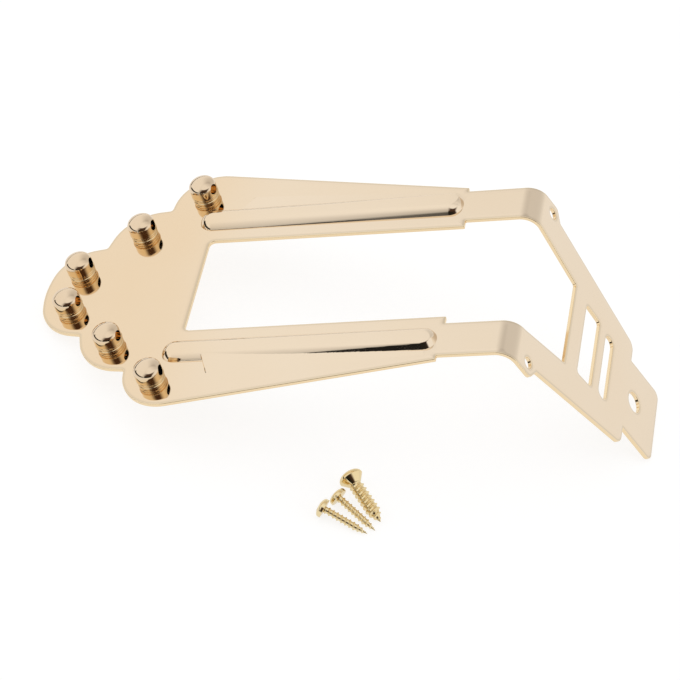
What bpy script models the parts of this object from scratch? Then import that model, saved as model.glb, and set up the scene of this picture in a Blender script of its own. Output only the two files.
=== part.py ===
"""Archtop guitar tailpiece lying face up on a table, with its three wood screws beside it.

One pressed sheet makes the scalloped plate, its two arms, the straps and the bent-down bracket.
Six turned string posts are riveted into the plate. The sizes are in millimetres, and MM turns
them into metres. The plate is drawn in its own frame: x runs from the scalloped end to the bend,
y is across, z is up from its top face, and x is 0 under the two middle posts. Past the bend, x
goes on along the flat blank, so that the bracket is drawn before it is bent.
"""

import math

import bmesh
import bpy
from mathutils import Matrix, Vector

MM = 0.001

# Sheet and the gap kept where two pieces touch
SHEET = 0.9
SEAT_GAP = 0.3

# String posts, in rows behind each other from the middle pair outwards
STRING_PITCH = 10.4
POST_ROWS_X = (0.0, 11.3, 22.6)
POST_RADIUS = 2.85
POST_HEIGHT = 4.1
POST_DOME = 0.6
POST_SHOULDER = 0.65
LIP_HEIGHT = 1.36
LIP_OVERHANG = 0.06
LIP_WIDTH = 0.2
NECK_RADIUS = 2.78
SHANK_RADIUS = 1.6
TAIL_RADIUS = 2.2
TAIL_LENGTH = 0.6
TAIL_CHAMFER = 0.25

# The hole through each post for its string, and how far each post was riveted out of line
STRING_HOLE_RADIUS = 1.15
STRING_HOLE_HEIGHT = 2.8
STRING_HOLE_OVERRUN = 1.0
STRING_HOLE_TURNS_DEG = (-17.0, -3.0, 3.0, -9.0, -9.0, 0.0)

# Scalloped edge: the front, the outer corner of each lobe from its post, and the notches
FRONT_X = -6.94
FRONT_HALF_WIDTH = 1.78
FRONT_FILLET = 19.5
LOBE_CORNERS = ((-5.27, 5.74), (-5.0, 6.13), (-5.53, 7.76))
LOBE_FILLETS = (9.6, 10.2, 9.2)
NOTCHES = ((3.66, 12.33), (15.73, 22.57))
NOTCH_FILLET = 0.7
FILLET_SHARE = 0.92

# Arms and the straps between them and the bend
ARM_END_X = 79.6
ARM_END_HALF_WIDTH = 23.66
STRAP_START_X = 80.1
STRAP_INNER = 14.2
STRAP_OUTER = 22.65
STEP_FILLET = 0.2

# Opening between the arms
OPENING_X = 26.2
OPENING_HALF_WIDTH = 12.65
OPENING_END_HALF_WIDTH = 12.4
OPENING_FILLET = 1.2

# Bend
BEND_X = 91.05
BEND_RADIUS = 4.5
BEND_ANGLE = math.radians(70.0)
BEND_CUTS = 14

# Bracket: lengths are measured down from the end of the bend
BRACKET_HALF_WIDTH = 21.66
BRACKET_TAPER = 0.221
WINDOW_HALF_WIDTH = 13.93
WINDOW_TAPER = 0.228
WINDOW_LENGTH = 14.2
WINDOW_FILLET = 0.5
WIDE_SLOT_START = 18.85
WIDE_SLOT_END = 24.1
WIDE_SLOT_HALF_WIDTHS = (9.2, 8.8)
WIDE_SLOT_FILLET = 0.8
NARROW_SLOT_START = 26.8
NARROW_SLOT_END = 29.8
NARROW_SLOT_HALF_WIDTH = 8.1
NARROW_SLOT_ROUNDNESS = 0.97
BRACKET_SHOULDER = 36.9
BRACKET_SHOULDER_FILLET = 2.3
TONGUE_END = 48.2
TONGUE_HALF_WIDTH = 9.2
TONGUE_FILLET = 1.8
PIN_HOLE_DOWN = 39.7
PIN_HOLE_RADIUS = 2.15

# Ears beside the bend, with a screw hole in each
EAR_HALF_WIDTH = 23.1
EAR_LENGTH = 4.2
EAR_FILLET = 1.5
EAR_END = 5.9
EAR_HOLE_DOWN = 2.9
EAR_HOLE_Y = 20.4
EAR_HOLE_RADIUS = 1.15

# Round-ended ridge pressed along each arm
RIDGE_START_X = 23.0
RIDGE_END_X = 79.2
RIDGE_Y = 18.55
RIDGE_HALF_WIDTH = 2.75
RIDGE_HEIGHT = 1.5
RIDGE_SQUARENESS = 2.9
RIDGE_SEGMENTS = 28
RIDGE_RINGS = 13
POCKET_SHARE = 0.78

# Wedge outside each ridge: it starts at a step, as high as the ridge's crest, and flattens out
STEP_INNER = (32.0, 21.3)
STEP_OUTER = (33.6, 25.1)
WEDGE_START_SLOPE = 0.237
WEDGE_END = (77.0, 22.4)
WEDGE_END_SLOPE = 0.1
WEDGE_TIP = (79.0, 20.2)
WEDGE_CREST_INSET = 0.5
FOOT_SINK = 0.06

# Loose screws: the large one has an oval countersunk head, and the small ones have pan heads
LARGE_HEAD_RADIUS = 2.5
LARGE_HEAD_DOME = 1.3
LARGE_HEAD_RIM = 0.15
LARGE_HEAD_CONE = 1.6
LARGE_LENGTH = 11.1
LARGE_CORE_RADIUS = 1.18
LARGE_THREAD_DEPTH = 0.32
LARGE_TURNS = 8
SMALL_HEAD_RADIUS = 1.95
SMALL_HEAD_DOME = 0.85
SMALL_HEAD_RIM = 0.5
SMALL_HEAD_CONE = 0.2
SMALL_LENGTH = 10.2
SMALL_CORE_RADIUS = 0.6
SMALL_THREAD_DEPTH = 0.24
SMALL_TURNS = 9
POINT_LENGTH = 2.6
THREAD_START = 0.8
THREAD_LEAST_SHARE = 0.35
RECESS_SHARE = 0.62
RECESS_WIDTH = 0.55
RECESS_DEPTH = 0.8

# Where each screw's tip lies, from the front edge and the middle line, and its heading
LARGE_TIP = (76.65, -39.66)
LARGE_HEADING = math.radians(132.8)
MIDDLE_TIP = (76.01, -41.54)
MIDDLE_HEADING = math.radians(149.2)
SMALL_TIP = (74.66, -42.74)
SMALL_HEADING = math.radians(164.1)

# Facets
ROUND_STEPS = 32
HOLE_STEPS = 28
SCREW_STEPS = 20
THREAD_POINTS_PER_TURN = 12
ARC_STEP = math.radians(7.0)
LEAST_TURN = 0.01
WELD = 0.001

# Derived: the blank's length through the bend, and where the bracket starts on it
BEND_LENGTH = (BEND_RADIUS - SHEET / 2) * BEND_ANGLE
BRACKET_X = BEND_X + BEND_LENGTH


def collection(name):
    """A new collection in the scene."""
    made = bpy.data.collections.new(name)
    bpy.context.scene.collection.children.link(made)
    return made


def plated(name, colour, roughness):
    """Plated metal of this colour and roughness."""
    made = bpy.data.materials.new(name)
    made.use_nodes = True
    shader = made.node_tree.nodes["Principled BSDF"]
    shader.inputs["Base Color"].default_value = (*colour, 1.0)
    shader.inputs["Metallic"].default_value = 1.0
    shader.inputs["Roughness"].default_value = roughness
    made.diffuse_color = (*colour, 1.0)
    return made


def add_object(name, mesh, home, look=None):
    """An object of this mesh in its collection."""
    if look:
        mesh.materials.append(look)
    made = bpy.data.objects.new(name, mesh)
    home.objects.link(made)
    return made


def mesh_from(work, name):
    """The mesh of a finished bmesh, with its faces pointing out."""
    bmesh.ops.recalc_face_normals(work, faces=work.faces[:])
    mesh = bpy.data.meshes.new(name)
    work.to_mesh(mesh)
    work.free()
    return mesh


def mesh_of_curve(curve):
    """The welded mesh of a curve, which is then removed."""
    holder = bpy.data.objects.new(curve.name, curve)
    bpy.context.scene.collection.objects.link(holder)
    graph = bpy.context.evaluated_depsgraph_get()
    mesh = bpy.data.meshes.new_from_object(holder.evaluated_get(graph))
    bpy.data.objects.remove(holder)
    work = bmesh.new()
    work.from_mesh(mesh)
    bmesh.ops.remove_doubles(work, verts=work.verts, dist=WELD * MM)
    return work


def cut(target, tool, operation):
    """A Boolean of this tool on the target."""
    modifier = target.modifiers.new(tool.name, "BOOLEAN")
    modifier.operation = operation
    modifier.object = tool
    modifier.solver = "EXACT"
    tool.hide_render = True
    tool.display_type = "WIRE"
    tool.parent = target


def fillet(before, corner, after, radius):
    """Points of the arc of this radius that rounds the corner between its two neighbours.

    The arc takes at most a fixed share of the shorter side, so that two arcs never meet.
    """
    here = Vector(corner)
    back = Vector(before) - here
    ahead = Vector(after) - here
    shorter = min(back.length, ahead.length)
    back.normalize()
    ahead.normalize()
    half = math.acos(max(-1.0, min(1.0, back.dot(ahead)))) / 2
    radius = min(radius, FILLET_SHARE * shorter * math.tan(half))
    if radius == 0 or math.pi / 2 - half < LEAST_TURN:
        return [tuple(here)]
    centre = here + (back + ahead).normalized() * radius / math.sin(half)
    first = here + back * radius / math.tan(half) - centre
    last = here + ahead * radius / math.tan(half) - centre
    turn = first.angle_signed(last)
    steps = max(3, round(abs(turn) / ARC_STEP))
    return [tuple(centre + Matrix.Rotation(-turn * k / steps, 2) @ first) for k in range(steps + 1)]


def outline_of(half):
    """The closed outline of half of a symmetric shape, given as corners (x, y, fillet radius)."""
    corners = half + [(x, -y, radius) for x, y, radius in reversed(half)]
    points = []
    for k, (x, y, radius) in enumerate(corners):
        after = corners[(k + 1) % len(corners)]
        points += fillet(corners[k - 1][:2], (x, y), after[:2], radius)
    return points


def circle(x, y, radius):
    """A round hole's outline."""
    turns = [2 * math.pi * k / HOLE_STEPS for k in range(HOLE_STEPS)]
    return [(x + radius * math.cos(a), y + radius * math.sin(a)) for a in turns]


def post_places():
    """The posts' places on the plate, from the far outer one round to the near outer one."""
    far = [(x, STRING_PITCH * (row + 0.5)) for row, x in enumerate(POST_ROWS_X)]
    return far[::-1] + [(x, -y) for x, y in far]


def bracket_edge(down):
    """The bracket's half width this far down from the bend."""
    return BRACKET_HALF_WIDTH - BRACKET_TAPER * down


def blank_outline():
    """The sheet's outer outline before it is bent."""
    half = [(FRONT_X, FRONT_HALF_WIDTH, FRONT_FILLET)]
    for row, (x, y) in enumerate(post_places()[2::-1]):
        half.append((x + LOBE_CORNERS[row][0], y + LOBE_CORNERS[row][1], LOBE_FILLETS[row]))
        if row < len(NOTCHES):
            half.append((*NOTCHES[row], NOTCH_FILLET))
    half += [
        (ARM_END_X, ARM_END_HALF_WIDTH, STEP_FILLET),
        (ARM_END_X, STRAP_OUTER, STEP_FILLET),
        (BEND_X, STRAP_OUTER, 0),
        (BRACKET_X, EAR_HALF_WIDTH, 0),
        (BRACKET_X + EAR_LENGTH, EAR_HALF_WIDTH, EAR_FILLET),
        (BRACKET_X + EAR_END, bracket_edge(EAR_END), 0),
        (BRACKET_X + BRACKET_SHOULDER, bracket_edge(BRACKET_SHOULDER), BRACKET_SHOULDER_FILLET),
        (BRACKET_X + BRACKET_SHOULDER, TONGUE_HALF_WIDTH, STEP_FILLET),
        (BRACKET_X + TONGUE_END, TONGUE_HALF_WIDTH, TONGUE_FILLET),
    ]
    return outline_of(half)


def window_outline():
    """The opening that runs between the arms, through the bend and into the bracket."""
    end_half_width = WINDOW_HALF_WIDTH - WINDOW_TAPER * WINDOW_LENGTH
    return outline_of(
        [
            (OPENING_X, OPENING_HALF_WIDTH, OPENING_FILLET),
            (STRAP_START_X, OPENING_END_HALF_WIDTH, STEP_FILLET),
            (STRAP_START_X, STRAP_INNER, STEP_FILLET),
            (BEND_X, STRAP_INNER, 0),
            (BRACKET_X, WINDOW_HALF_WIDTH, 0),
            (BRACKET_X + WINDOW_LENGTH, end_half_width, WINDOW_FILLET),
        ]
    )


def slot_outlines():
    """The wide slot and the narrow round-ended slot across the bracket."""
    near, far = WIDE_SLOT_HALF_WIDTHS
    wide = [
        (BRACKET_X + WIDE_SLOT_START, near, WIDE_SLOT_FILLET),
        (BRACKET_X + WIDE_SLOT_END, far, WIDE_SLOT_FILLET),
    ]
    end_fillet = NARROW_SLOT_ROUNDNESS * (NARROW_SLOT_END - NARROW_SLOT_START) / 2
    narrow = [
        (BRACKET_X + NARROW_SLOT_START, NARROW_SLOT_HALF_WIDTH, end_fillet),
        (BRACKET_X + NARROW_SLOT_END, NARROW_SLOT_HALF_WIDTH, end_fillet),
    ]
    return [outline_of(wide), outline_of(narrow)]


def hole_outlines():
    """The round holes: one for each post, one for the end pin and one in each ear."""
    holes = [circle(x, y, SHANK_RADIUS + SEAT_GAP) for x, y in post_places()]
    holes.append(circle(BRACKET_X + PIN_HOLE_DOWN, 0, PIN_HOLE_RADIUS))
    for side in (1, -1):
        holes.append(circle(BRACKET_X + EAR_HOLE_DOWN, side * EAR_HOLE_Y, EAR_HOLE_RADIUS))
    return holes


def bent(x, y, z):
    """Where a point of the flat blank goes when the straps are bent down round the bend."""
    if x <= BEND_X:
        return Vector((x, y, z))
    turned = min((x - BEND_X) / BEND_LENGTH, 1.0) * BEND_ANGLE
    past = max(x - BRACKET_X, 0.0)
    radius = BEND_RADIUS + z
    along = BEND_X + radius * math.sin(turned) + past * math.cos(turned)
    return Vector((along, y, radius * math.cos(turned) - past * math.sin(turned) - BEND_RADIUS))


def make_sheet(home, look):
    """The pierced and bent sheet: a filled curve, cut across through the bend and then bent."""
    curve = bpy.data.curves.new("blank", "CURVE")
    curve.dimensions = "2D"
    curve.fill_mode = "BOTH"
    curve.extrude = SHEET / 2 * MM
    for outline in [blank_outline(), window_outline()] + slot_outlines() + hole_outlines():
        spline = curve.splines.new("POLY")
        spline.points.add(len(outline) - 1)
        for point, (x, y) in zip(spline.points, outline):
            point.co = (x * MM, y * MM, 0.0, 1.0)
        spline.use_cyclic_u = True
    work = mesh_of_curve(curve)
    for k in range(BEND_CUTS + 1):
        place = BEND_X + BEND_LENGTH * k / BEND_CUTS
        everything = work.verts[:] + work.edges[:] + work.faces[:]
        bmesh.ops.bisect_plane(work, geom=everything, plane_co=(place * MM, 0, 0), plane_no=(1, 0, 0))
    for vert in work.verts:
        x, y, z = vert.co / MM
        vert.co = bent(x, y, z - SHEET / 2) * MM
    bmesh.ops.triangulate(work, faces=work.faces[:])
    mesh = mesh_from(work, "plate")
    mesh.shade_smooth()
    mesh.set_sharp_from_angle(angle=math.radians(35))
    return add_object("plate", mesh, home, look)


def ridge_form(name, side, drop, home):
    """The ridge on one arm, or with a drop of one sheet the pocket pressed up under it.

    A sphere is drawn out along the arm, and its section is squared to a superellipse.
    """
    radius = RIDGE_HALF_WIDTH - drop * POCKET_SHARE
    end_inset = RIDGE_HALF_WIDTH
    power = RIDGE_SQUARENESS
    work = bmesh.new()
    bmesh.ops.create_uvsphere(work, u_segments=RIDGE_SEGMENTS, v_segments=RIDGE_RINGS, radius=1.0)
    for vert in work.verts:
        up, across, along = vert.co
        centre = RIDGE_START_X + end_inset if along < 0 else RIDGE_END_X - end_inset
        reach = min(1.0, math.hypot(across, along))
        rise = (RIDGE_HEIGHT + FOOT_SINK) * (1 - reach**power) ** (1 / power)
        height = math.copysign(rise, up) - FOOT_SINK - drop
        vert.co = Vector((centre + radius * along, side * RIDGE_Y + radius * across, height)) * MM
    return add_object(name, mesh_from(work, name), home)


def wedge_form(name, side, drop, home):
    """The wedge outside one ridge, or with a drop of one sheet the pocket under it.

    It is the convex hull of a sloping face and the same corners below the sheet's face.
    """
    crest_y = RIDGE_Y + WEDGE_CREST_INSET
    lean = (STEP_OUTER[0] - STEP_INNER[0]) / (STEP_OUTER[1] - STEP_INNER[1])
    crest_x = STEP_INNER[0] - (STEP_INNER[1] - crest_y) * lean + drop
    narrowing = (STEP_OUTER[1] - WEDGE_END[1]) / (WEDGE_END[0] - STEP_OUTER[0])
    foot = -FOOT_SINK
    corners = [
        (crest_x, crest_y, (STEP_OUTER[1] - crest_y) * WEDGE_START_SLOPE),
        (WEDGE_END[0] - drop, crest_y, (WEDGE_END[1] - crest_y) * WEDGE_END_SLOPE),
        (STEP_OUTER[0] + drop, STEP_OUTER[1] - narrowing * drop, foot),
        (WEDGE_END[0] - drop, WEDGE_END[1], foot),
        (WEDGE_TIP[0] - 2 * drop, WEDGE_TIP[1], foot),
    ]
    work = bmesh.new()
    for x, y, z in corners:
        for height in (z - drop, foot - SHEET / 2 - drop):
            work.verts.new(Vector((x, side * y, height)) * MM)
    bmesh.ops.convex_hull(work, input=work.verts[:])
    return add_object(name, mesh_from(work, name), home)


def turned(name, profile, steps, home, look):
    """A body turned about z from a profile of (radius, height) that runs down its outer side."""
    mesh = bpy.data.meshes.new(name)
    points = [(radius * MM, 0.0, height * MM) for radius, height in profile]
    mesh.from_pydata(points, [(k, k + 1) for k in range(len(points) - 1)], [])
    made = add_object(name, mesh, home, look)
    turn = made.modifiers.new("turn", "SCREW")
    turn.steps = steps
    turn.render_steps = steps
    turn.use_merge_vertices = True
    turn.merge_threshold = WELD * MM
    turn.use_smooth_shade = True
    return made


def domed_top(radius, height, dome, shoulder):
    """Profile points of a low dome that ends in a rounded shoulder, down to its outer side."""
    flat = radius - shoulder
    dome_steps = 5
    points = []
    for k in range(dome_steps):
        share = k / dome_steps
        points.append((flat * share, height + dome * (1 - share**2)))
    shoulder_steps = 5
    for k in range(shoulder_steps + 1):
        angle = math.pi / 2 * k / shoulder_steps
        points.append((flat + shoulder * math.sin(angle), height - shoulder * (1 - math.cos(angle))))
    return points


def post_profile():
    """A string post: domed head, lip, neck, shank through the plate and peened tail below it."""
    tail_top = -SHEET - SEAT_GAP
    tail_end = tail_top - TAIL_LENGTH
    return domed_top(POST_RADIUS, POST_HEIGHT, POST_DOME, POST_SHOULDER) + [
        (POST_RADIUS, LIP_HEIGHT + LIP_WIDTH),
        (POST_RADIUS + LIP_OVERHANG, LIP_HEIGHT + LIP_WIDTH / 2),
        (POST_RADIUS, LIP_HEIGHT),
        (NECK_RADIUS, LIP_HEIGHT),
        (NECK_RADIUS, SEAT_GAP),
        (SHANK_RADIUS, SEAT_GAP),
        (SHANK_RADIUS, tail_top),
        (TAIL_RADIUS, tail_top),
        (TAIL_RADIUS, tail_end + TAIL_CHAMFER),
        (TAIL_RADIUS - TAIL_CHAMFER, tail_end),
        (0.0, tail_end),
    ]


def drill_form(post, home):
    """The rod that drills the string hole through a post, along its own x."""
    work = bmesh.new()
    length = 2 * (POST_RADIUS + STRING_HOLE_OVERRUN) * MM
    radius = STRING_HOLE_RADIUS * MM
    bmesh.ops.create_cone(
        work, cap_ends=True, segments=HOLE_STEPS, radius1=radius, radius2=radius, depth=length
    )
    bmesh.ops.rotate(work, matrix=Matrix.Rotation(math.pi / 2, 3, "Y"), verts=work.verts)
    bmesh.ops.translate(work, vec=(0, 0, STRING_HOLE_HEIGHT * MM), verts=work.verts)
    name = f"{post.name}_drill"
    cut(post, add_object(name, mesh_from(work, name), home), "DIFFERENCE")


def thread_form(name, core, depth, start, end, turns, home):
    """A right-hand thread's crest: a round bar that winds along the shank and thins at its ends."""
    curve = bpy.data.curves.new(name, "CURVE")
    curve.dimensions = "3D"
    curve.bevel_depth = depth * MM
    curve.bevel_resolution = 1
    curve.use_fill_caps = True
    spline = curve.splines.new("POLY")
    count = turns * THREAD_POINTS_PER_TURN
    spline.points.add(count)
    for k, point in enumerate(spline.points):
        height = start + (end - start) * k / count
        angle = -2 * math.pi * k / THREAD_POINTS_PER_TURN
        slimming = min(1.0, height / POINT_LENGTH)
        run_in = k / THREAD_POINTS_PER_TURN + THREAD_LEAST_SHARE
        radius = core * slimming
        point.co = (radius * math.cos(angle) * MM, radius * math.sin(angle) * MM, height * MM, 1.0)
        point.radius = max(THREAD_LEAST_SHARE, min(1.0, run_in, slimming))
    return add_object(name, mesh_from(mesh_of_curve(curve), name), home)


def recess_forms(screw, radius, top, home):
    """The two crossed bars that cut the cross recess into a screw's head."""
    for turn, word in ((0, "across"), (math.pi / 2, "along")):
        work = bmesh.new()
        bmesh.ops.create_cube(work, size=1.0)
        size = Vector((2 * radius * RECESS_SHARE, RECESS_WIDTH, 2 * RECESS_DEPTH)) * MM
        bmesh.ops.scale(work, vec=size, verts=work.verts)
        bmesh.ops.rotate(work, matrix=Matrix.Rotation(turn, 3, "Z"), verts=work.verts)
        bmesh.ops.translate(work, vec=(0, 0, top * MM), verts=work.verts)
        name = f"{screw.name}_recess_{word}"
        cut(screw, add_object(name, mesh_from(work, name), home), "DIFFERENCE")


def make_screw(name, home, tools, look, head, rim_length, core, depth, turns):
    """A wood screw whose tip is at its origin and whose head is up its own z."""
    radius, dome, rim, cone = head
    neck = rim_length - rim - cone
    steps = 6
    profile = []
    for k in range(steps + 1):
        angle = math.pi / 2 * k / steps
        profile.append((radius * math.sin(angle), rim_length + dome * math.cos(angle)))
    profile += [
        (radius, rim_length - rim),
        (core, neck),
        (core, POINT_LENGTH),
        (0.0, 0.0),
    ]
    screw = turned(name, profile, SCREW_STEPS, home, look)
    thread = thread_form(f"{name}_thread", core, depth, neck - 2 * depth, THREAD_START, turns, tools)
    cut(screw, thread, "UNION")
    recess_forms(screw, radius, rim_length + dome, tools)
    return screw


def lay_down(screw, tip, heading, head_radius, rim_length, crest):
    """Lays a screw on the table: its head's rim and the thread by its point touch it."""
    lean = math.atan2(head_radius - crest, rim_length - POINT_LENGTH)
    way = Vector((math.cos(heading) * math.cos(lean), math.sin(heading) * math.cos(lean), math.sin(lean)))
    turn = way.to_track_quat("Z", "X").to_matrix().to_4x4()
    screw.matrix_world = Matrix.Translation(Vector((*tip, 0.0)) * MM) @ turn
    low = bounds([screw])[0]
    screw.matrix_world = Matrix.Translation((0, 0, -low.z)) @ screw.matrix_world


def rest_tilt():
    """The plate's slope on the table, where its front edge and the tongue's end both touch."""
    tongue = bent(BRACKET_X + TONGUE_END, 0.0, -SHEET)
    return math.atan2(-SHEET - tongue.z, tongue.x - FRONT_X)


def bounds(objects):
    """The lowest and highest corner of these objects as they are shown."""
    bpy.context.view_layer.update()
    graph = bpy.context.evaluated_depsgraph_get()
    places = []
    for made in objects:
        mesh = made.evaluated_get(graph).to_mesh()
        places += [made.matrix_world @ vert.co for vert in mesh.vertices]
    low = Vector([min(place[k] for place in places) for k in range(3)])
    high = Vector([max(place[k] for place in places) for k in range(3)])
    return low, high


def make_tailpiece(parts, tools, holder):
    """The plate with its pressed ridges and wedges, and its six posts, resting on the table."""
    plate = make_sheet(parts, plated("polished_plate", (0.79, 0.62, 0.40), 0.16))
    for side, word in ((1, "far"), (-1, "near")):
        cut(plate, ridge_form(f"ridge_{word}", side, 0.0, tools), "UNION")
        cut(plate, wedge_form(f"wedge_{word}", side, 0.0, tools), "UNION")
        cut(plate, ridge_form(f"ridge_pocket_{word}", side, SHEET, tools), "DIFFERENCE")
        cut(plate, wedge_form(f"wedge_pocket_{word}", side, SHEET, tools), "DIFFERENCE")
    plate.parent = holder
    gold = plated("turned_gold", (0.66, 0.40, 0.10), 0.12)
    posts = []
    for number, (x, y) in enumerate(post_places(), start=1):
        post = turned(f"string_post_{number}", post_profile(), ROUND_STEPS, parts, gold)
        drill_form(post, tools)
        post.location = (x * MM, y * MM, 0.0)
        post.rotation_euler.z = math.radians(STRING_HOLE_TURNS_DEG[number - 1])
        post.parent = holder
        posts.append(post)
    slope = Matrix.Rotation(-rest_tilt(), 4, "Y")
    touching = slope @ Vector((FRONT_X, 0.0, -SHEET))
    holder.matrix_world = Matrix.Translation(Vector((-touching.x, 0.0, -touching.z)) * MM) @ slope
    return [plate] + posts


def make_screws(parts, tools):
    """The three loose wood screws on the table in front of the tailpiece."""
    gold = plated("screw_gold", (0.64, 0.38, 0.09), 0.15)
    large_head = (LARGE_HEAD_RADIUS, LARGE_HEAD_DOME, LARGE_HEAD_RIM, LARGE_HEAD_CONE)
    small_head = (SMALL_HEAD_RADIUS, SMALL_HEAD_DOME, SMALL_HEAD_RIM, SMALL_HEAD_CONE)
    large_size = (large_head, LARGE_LENGTH, LARGE_CORE_RADIUS, LARGE_THREAD_DEPTH, LARGE_TURNS)
    small_size = (small_head, SMALL_LENGTH, SMALL_CORE_RADIUS, SMALL_THREAD_DEPTH, SMALL_TURNS)
    screws = []
    for name, size, tip, heading in (
        ("screw_large", large_size, LARGE_TIP, LARGE_HEADING),
        ("screw_middle", small_size, MIDDLE_TIP, MIDDLE_HEADING),
        ("screw_small", small_size, SMALL_TIP, SMALL_HEADING),
    ):
        head, length, core, depth, _ = size
        screw = make_screw(name, parts, tools, gold, *size)
        lay_down(screw, tip, heading, head[0], length, core + depth)
        screws.append(screw)
    return screws


def main():
    """Builds the set and brings the middle of its footprint to the origin."""
    for old in list(bpy.data.objects):
        bpy.data.objects.remove(old)
    parts = collection("archtop_tailpiece")
    tools = collection("cutters")
    table = bpy.data.objects.new("table_origin", None)
    holder = bpy.data.objects.new("tailpiece_at_rest", None)
    for empty in (table, holder):
        parts.objects.link(empty)
    tailpiece = make_tailpiece(parts, tools, holder)
    screws = make_screws(parts, tools)
    low, high = bounds(tailpiece + screws)
    for made in [holder] + screws:
        made.parent = table
    table.location = (-(low.x + high.x) / 2, -(low.y + high.y) / 2, 0.0)


main()
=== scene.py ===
"""Looks of a gold archtop guitar tailpiece and its three screws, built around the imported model."""

import math

import bpy
import numpy as np
from mathutils import Matrix, Vector
from mathutils.geometry import delaunay_2d_cdt


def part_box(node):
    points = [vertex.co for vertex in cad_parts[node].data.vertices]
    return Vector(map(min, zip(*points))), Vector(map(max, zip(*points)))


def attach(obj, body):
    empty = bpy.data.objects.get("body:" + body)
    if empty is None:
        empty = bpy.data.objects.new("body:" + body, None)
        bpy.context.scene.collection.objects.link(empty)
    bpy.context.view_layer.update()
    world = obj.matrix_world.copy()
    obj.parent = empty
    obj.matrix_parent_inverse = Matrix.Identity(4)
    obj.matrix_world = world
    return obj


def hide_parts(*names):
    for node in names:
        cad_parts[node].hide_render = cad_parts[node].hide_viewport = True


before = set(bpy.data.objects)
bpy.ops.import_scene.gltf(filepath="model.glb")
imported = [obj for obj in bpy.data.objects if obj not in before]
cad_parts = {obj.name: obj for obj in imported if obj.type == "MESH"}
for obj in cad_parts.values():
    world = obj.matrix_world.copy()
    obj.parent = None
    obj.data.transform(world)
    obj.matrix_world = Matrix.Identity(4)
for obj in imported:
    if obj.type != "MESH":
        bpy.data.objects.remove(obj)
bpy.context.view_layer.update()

# The plate is 0.9 mm mild steel, blanked and pierced in one stroke and bent down at its straps.
# Its sizes are the model's, in millimetres in its own frame: x runs to the bend, z is up from
# its top face, and 0 is under the two middle posts. Past the bend, x goes on along the blank.
MM = 0.001
SHEET = 0.9
EDGE_ROUND = 0.13
EDGE_STEPS = 5
ROLL_RUN = 1.3
ROLL_DEPTH = 0.12
ROLL_RINGS = (0.3, 0.5, 0.75, 1.05, 1.3)
ROLL_SLOPE = 2 * ROLL_DEPTH / ROLL_RUN
ARC_STEP = math.radians(5.0)
HOLE_STEPS = 48

STRING_PITCH = 10.4
POST_ROWS_X = (0.0, 11.3, 22.6)
SHANK_RADIUS = 1.88

FRONT_X = -6.94
FRONT = (FRONT_X, 1.78, 19.5)
LOBES = ((-5.27, 5.74, 9.6), (-5.0, 6.13, 10.2), (-5.53, 7.76, 9.2))
NOTCHES = ((3.66, 12.33, 0.7), (15.73, 22.57, 0.7))
ARM_END_X = 79.6
ARM_END_HALF_WIDTH = 23.66
STEP_FILLET = 0.2
STRAP_START_X = 80.1
STRAP_INNER = 14.2
STRAP_OUTER = 22.65
OPENING_X = 26.2
OPENING_HALF_WIDTH = 12.65
OPENING_END_HALF_WIDTH = 12.4
OPENING_FILLET = 1.2

BEND_X = 91.05
BEND_RADIUS = 4.5
BEND_ANGLE = math.radians(70.0)
BEND_CUTS = 28
BEND_LENGTH = (BEND_RADIUS - SHEET / 2) * BEND_ANGLE
BRACKET_X = BEND_X + BEND_LENGTH

BRACKET_HALF_WIDTH = 21.66
BRACKET_TAPER = 0.221
WINDOW_HALF_WIDTH = 13.93
WINDOW_TAPER = 0.228
WINDOW_LENGTH = 14.2
WINDOW_FILLET = 0.5
WIDE_SLOT = ((18.85, 9.2, 0.8), (24.1, 8.8, 0.8))
NARROW_SLOT = ((26.8, 8.1, 1.455), (29.8, 8.1, 1.455))
BRACKET_SHOULDER = 36.9
BRACKET_SHOULDER_FILLET = 2.3
TONGUE_END = 48.2
TONGUE_HALF_WIDTH = 9.2
TONGUE_FILLET = 1.8
PIN_HOLE_DOWN = 39.7
PIN_HOLE_RADIUS = 2.15
EAR_HALF_WIDTH = 23.1
EAR_LENGTH = 4.2
EAR_FILLET = 1.5
EAR_END = 5.9
EAR_END_FILLET = 0.4
EAR_HOLE_DOWN = 2.9
EAR_HOLE_Y = 20.4
EAR_HOLE_RADIUS = 1.15


def rounded(corners, closed=True):
    """A path through corners (across, up, radius) that turns each corner on an arc.

    Along an arc a point is start + radius (sin a way + (1 - cos a) side), with a from 0 to the
    corner's turn. The second array holds the unit normals on the right of the path, and the
    metal is on its left.
    """
    spots = np.array([corner[:2] for corner in corners])
    places, normals = [], []
    for k, (x, y, radius) in enumerate(corners):
        way_in = spots[k] - spots[k - 1]
        way_out = spots[(k + 1) % len(spots)] - spots[k]
        if not closed and k == 0:
            way_in = way_out
        if not closed and k == len(spots) - 1:
            way_out = way_in
        way = way_in / np.linalg.norm(way_in)
        right = np.array((way[1], -way[0]))
        turn = math.atan2(-(right @ way_out), way @ way_out)
        side = -math.copysign(1.0, turn)
        steps = max(2, math.ceil(abs(turn) / ARC_STEP)) + 1
        angles = np.linspace(0.0, abs(turn), steps) if radius else np.array([abs(turn) / 2])
        angles = angles[:, None]
        start = spots[k] - way * radius * math.tan(abs(turn) / 2)
        places.append(start + radius * (np.sin(angles) * way + (1 - np.cos(angles)) * side * right))
        facing = np.cos(angles) * right - side * np.sin(angles) * way
        normals.append(facing if radius else facing / math.cos(turn / 2))
    return np.concatenate(places), np.concatenate(normals)


def mirrored(half):
    """The corners of a shape that is symmetric across the middle line, from its far half."""
    return [*half, *[(x, -y, radius) for x, y, radius in reversed(half)]]


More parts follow.
